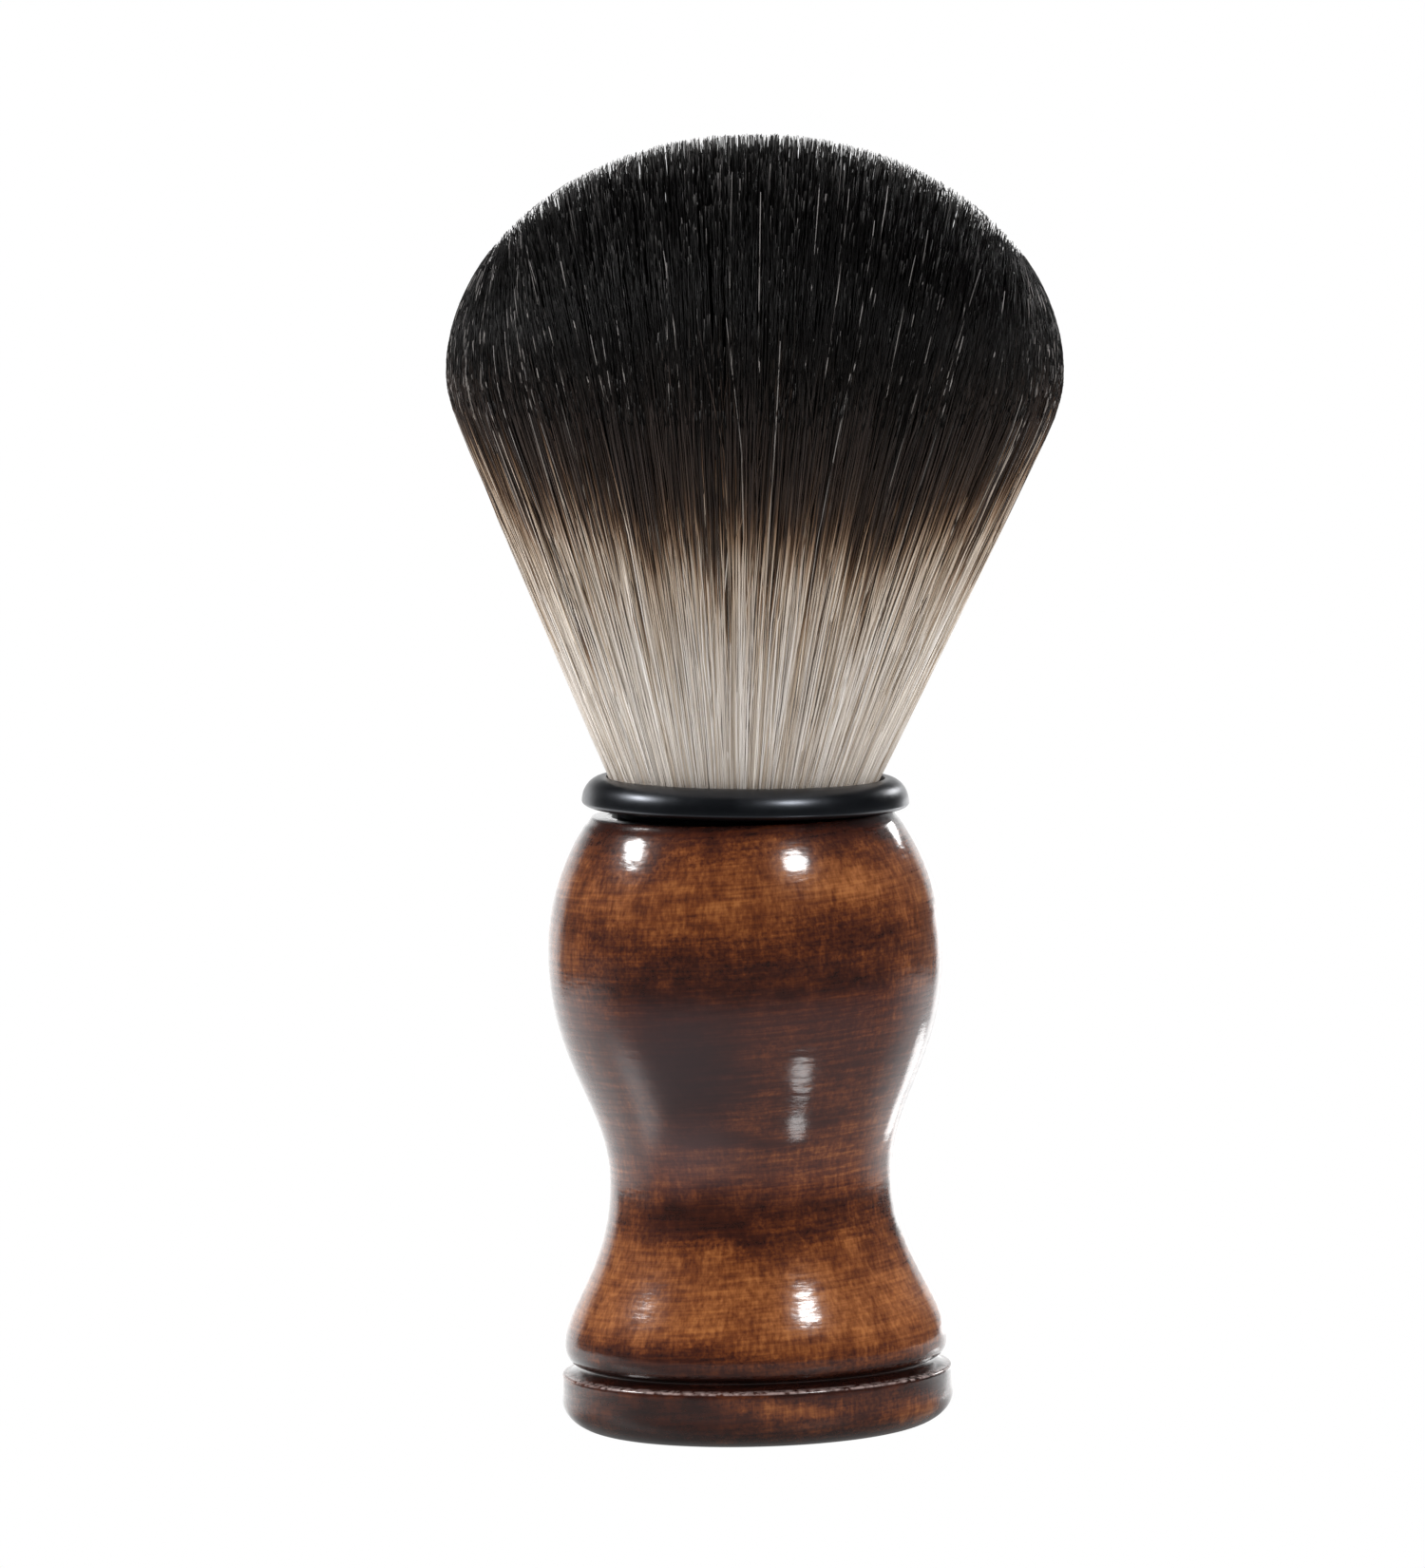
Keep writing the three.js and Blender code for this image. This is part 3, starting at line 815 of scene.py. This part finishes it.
def softbox(name, azimuth, elevation, width, height, radiance, rings=((1.0, 1.0),)):
    """A lamp behind a round diffuser, aimed at the brush. Azimuth is measured from the camera's side, to its
    right. rings lists how wide and how bright the glow is, from the hot centre out."""
    target = Vector((0, 0, 0.055))
    turn, rise = math.radians(azimuth), math.radians(elevation)
    way = Vector((math.sin(turn) * math.cos(rise), -math.cos(turn) * math.cos(rise), math.sin(rise)))
    for index, (spread, share) in enumerate(rings):
        data = bpy.data.lights.new(f"{name}_{index}", "AREA")
        data.shape = "ELLIPSE"
        data.size = width * spread
        data.size_y = height * spread
        data.energy = radiance * share * math.pi * math.pi / 4 * data.size * data.size_y
        lamp = bpy.data.objects.new(data.name, data)
        bpy.context.scene.collection.objects.link(lamp)
        lamp.location = target + way * (LAMP_DISTANCE + 0.03 * index)
        lamp.rotation_euler = (-way).to_track_quat("-Z", "Y").to_euler()
        lamp.visible_camera = False


# Level directions from the brush: to the white background behind it, and to a glowing strip in the table
# behind its right side, which stands in for a white card.
BEHIND = (-0.078, 0.997, 0.0)
CARD = (0.508, 0.861, 0.0)


def floor():
    """Plain white for the camera. Light and reflections see a glossy table that glows, brightly behind the
    brush and dimly in front of it and far away, with a narrow brighter strip behind its right side, and that
    is dull near the foot, where a painted contact shadow dims its glow. Distances from the brush are in
    metres."""
    bpy.ops.mesh.primitive_plane_add(size=12, location=(0, 0, 0))
    plane = bpy.context.object
    plane.name = "floor"
    nodes = Nodes("pale_floor", Base_Color=srgb(40, 40, 41), IOR=2.2)
    tree = nodes.tree
    ray = tree.nodes.new("ShaderNodeLightPath")
    place = nodes.add("TexCoord").outputs["Object"]
    reach = nodes.add("VectorMath", {0: place}, operation="LENGTH").outputs["Value"]
    way = nodes.add("VectorMath", {0: place}, operation="NORMALIZE").outputs[0]
    facing = nodes.add("VectorMath", {0: way, 1: BEHIND}, operation="DOT_PRODUCT").outputs["Value"]
    front = nodes.between(reach, 0.05, 0.17, 0.32, 0.05)
    # Painted shadow: the glow is dimmed right next to the foot, for the brush's contact shadow.
    front = nodes.math("MULTIPLY", front, nodes.between(reach, 0.016, 0.034, 0.55, 1.0))
    table = nodes.between(facing, -0.2, 0.5, front, 1.1)
    table = nodes.between(reach, 0.17, 0.30, table, 0.05)
    mirrored = nodes.between(facing, 0.72, 0.86, table, 1.15)
    card = nodes.add("VectorMath", {0: way, 1: CARD}, operation="DOT_PRODUCT").outputs["Value"]
    card_light = nodes.between(reach, 0.07, 0.10, 0.0, 1.1)
    card_light = nodes.math("MULTIPLY", nodes.between(card, 0.990, 0.998), card_light)
    mirrored = nodes.math("ADD", mirrored, card_light)
    shine = nodes.math("MULTIPLY_ADD", ray.outputs["Is Diffuse Ray"], 0.8, mirrored)
    nodes.surface(Emission_Strength=shine, Emission_Color=(1, 1, 1, 1))
    satin = nodes.between(nodes.separate(place)[0], -0.035, -0.005, 0.30, 0.05)
    nodes.surface(Roughness=nodes.between(reach, 0.02, 0.034, 0.5, satin))
    white = tree.nodes.new("ShaderNodeEmission")
    either = tree.nodes.new("ShaderNodeMixShader")
    tree.links.new(ray.outputs["Is Camera Ray"], either.inputs["Fac"])
    tree.links.new(nodes.shader.outputs[0], either.inputs[1])
    tree.links.new(white.outputs[0], either.inputs[2])
    tree.links.new(either.outputs[0], tree.nodes["Material Output"].inputs["Surface"])
    plane.data.materials.append(nodes.material)


def smooth_range(tree, value, low, high, at_low, at_high):
    spread = tree.nodes.new("ShaderNodeMapRange")
    spread.interpolation_type = "SMOOTHSTEP"
    for name, amount in (("From Min", low), ("From Max", high), ("To Min", at_low), ("To Max", at_high)):
        spread.inputs[name].default_value = amount
    tree.links.new(value, spread.inputs["Value"])
    return spread.outputs["Result"]


def glow(tree, value, low, high, dim, bright):
    """A white background, dim where value is low and bright where it is high."""
    light = tree.nodes.new("ShaderNodeBackground")
    light.inputs["Color"].default_value = (1, 1, 1, 1)
    tree.links.new(smooth_range(tree, value, low, high, dim, bright), light.inputs["Strength"])
    return light


def surroundings():
    """Plain white for the camera. Reflections see white low down behind the brush and dark elsewhere, and
    soft light falls on it from all round, most of it from behind."""
    world = bpy.data.worlds.new("studio")
    bpy.context.scene.world = world
    world.use_nodes = True
    tree = world.node_tree
    tree.nodes.clear()
    place = tree.nodes.new("ShaderNodeTexCoord")
    facing = tree.nodes.new("ShaderNodeVectorMath")
    facing.operation = "DOT_PRODUCT"
    facing.inputs[1].default_value = BEHIND
    tree.links.new(place.outputs["Generated"], facing.inputs[0])
    mirrored = glow(tree, facing.outputs["Value"], 0.74, 0.87, 0.04, 1.35)
    height = tree.nodes.new("ShaderNodeSeparateXYZ")
    tree.links.new(place.outputs["Generated"], height.inputs[0])
    low_down = smooth_range(tree, height.outputs["Z"], 0.35, 0.08, 0.06, 1.0)
    tree.links.new(low_down, mirrored.inputs["Color"])
    soft = glow(tree, facing.outputs["Value"], -0.9, 0.75, 1.37, 4.4)
    plain = tree.nodes.new("ShaderNodeBackground")
    plain.inputs["Color"].default_value = (1, 1, 1, 1)
    ray = tree.nodes.new("ShaderNodeLightPath")
    lit = tree.nodes.new("ShaderNodeMixShader")
    tree.links.new(ray.outputs["Is Diffuse Ray"], lit.inputs["Fac"])
    tree.links.new(mirrored.outputs[0], lit.inputs[1])
    tree.links.new(soft.outputs[0], lit.inputs[2])
    seen = tree.nodes.new("ShaderNodeMixShader")
    tree.links.new(ray.outputs["Is Camera Ray"], seen.inputs["Fac"])
    tree.links.new(lit.outputs[0], seen.inputs[1])
    tree.links.new(plain.outputs[0], seen.inputs[2])
    out = tree.nodes.new("ShaderNodeOutputWorld")
    tree.links.new(seen.outputs[0], out.inputs["Surface"])


def studio():
    floor()
    surroundings()
    glowing = ((1.0, 1.0), (1.35, 0.12), (2.6, 0.008))
    softbox("key_right", 42, 44.5, 0.58, 0.38, 46, glowing)
    softbox("key_left", -95, 37.5, 0.84, 0.45, 32, glowing)
    softbox("rim_right", 145, 17.5, 0.8, 0.36, 13)
    settings = bpy.context.scene.view_settings
    settings.view_transform = "Standard"
    settings.look = "None"


camera()
studio()
handle(stained_wood())
collar(black_plastic())
bristles(bristle())
dress("resin_plug", cast_resin())
dress("binding_thread", binding_thread())
dress("socket_adhesive", glue())
